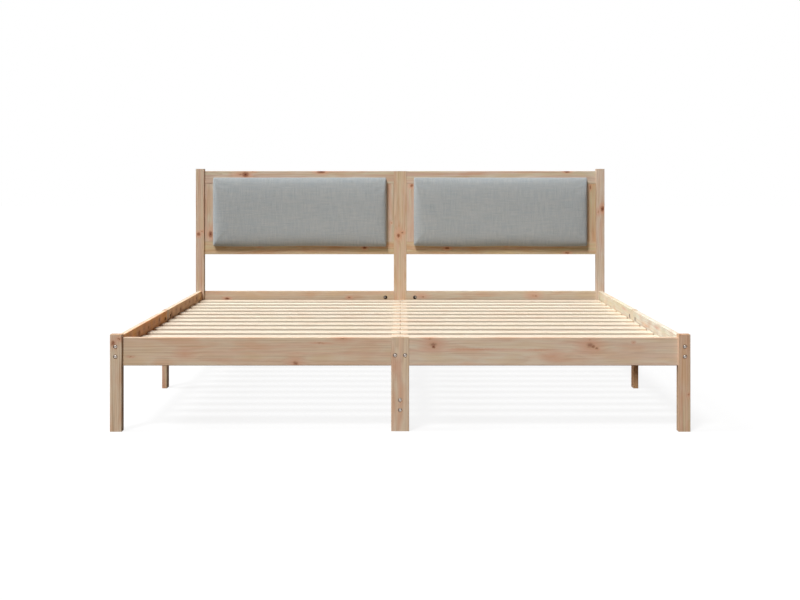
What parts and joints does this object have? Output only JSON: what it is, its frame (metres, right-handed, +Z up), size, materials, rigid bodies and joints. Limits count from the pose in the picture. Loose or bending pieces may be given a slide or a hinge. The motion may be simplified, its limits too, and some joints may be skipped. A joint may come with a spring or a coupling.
{
  "type": "bed frame",
  "caption": "Pine double bed frame with slats on a notched centre beam, flat legs between two-part rails and a headboard with upholstered cushions.",
  "frame": {"origin": "centre of the bed's outline on the floor: middle of the width and length, at the underside of the legs", "axes": "+Z up, +Y towards the headboard, +X towards the right-hand side seen from the foot"},
  "size_m": [1.855, 2.055, 0.855],
  "materials": {
    "pine": "planed, clear matt",
    "beech": "turned, bare",
    "plywood": "bare",
    "linen_fabric": "plain weave",
    "zinc_steel": "zinc plated"
  },
  "bodies": {
    "root": {"foot_post_left": "pine", "foot_post_right": "pine", "head_post_left": "pine", "head_post_right": "pine", "foot_centre_leg": "pine", "head_centre_post": "pine", "side_leg_left": "pine", "side_leg_right": "pine", "foot_support_board": "pine", "head_support_board": "pine", "middle_support_leg": "pine", "foot_rail_left": "pine", "foot_rail_right": "pine", "head_rail_left": "pine", "head_rail_right": "pine", "side_rail_left_foot": "pine", "side_rail_right_foot": "pine", "side_rail_left_head": "pine", "side_rail_right_head": "pine", "ledge_left_foot": "pine", "ledge_right_foot": "pine", "ledge_left_head": "pine", "ledge_right_head": "pine", "centre_beam_foot": "pine", "centre_beam_head": "pine", "slat_row_01": "pine", "slat_row_02": "pine", "slat_row_03": "pine", "slat_row_04": "pine", "slat_row_05": "pine", "slat_row_06": "pine", "slat_row_07": "pine", "slat_row_08": "pine", "slat_row_09": "pine", "slat_row_10": "pine", "slat_row_11": "pine", "slat_row_12": "pine", "slat_row_13": "pine", "headboard_top_rail_left": "pine", "headboard_top_rail_right": "pine", "headboard_bottom_rail_left": "pine", "headboard_bottom_rail_right": "pine", "headboard_outer_stile_left": "pine", "headboard_outer_stile_right": "pine", "headboard_inner_stile_left": "pine", "headboard_inner_stile_right": "pine", "corner_bolts": "zinc_steel", "leg_bolts": "zinc_steel", "barrel_nuts": "zinc_steel", "joint_rods": "zinc_steel", "moon_washers": "zinc_steel", "joint_nuts": "zinc_steel", "wood_screws": "zinc_steel", "cushion_screws": "zinc_steel", "dowels": "beech", "cushion_board_left": "plywood", "cushion_left": "linen_fabric", "cushion_board_right": "plywood", "cushion_right": "linen_fabric"}
  },
  "joints": []
}
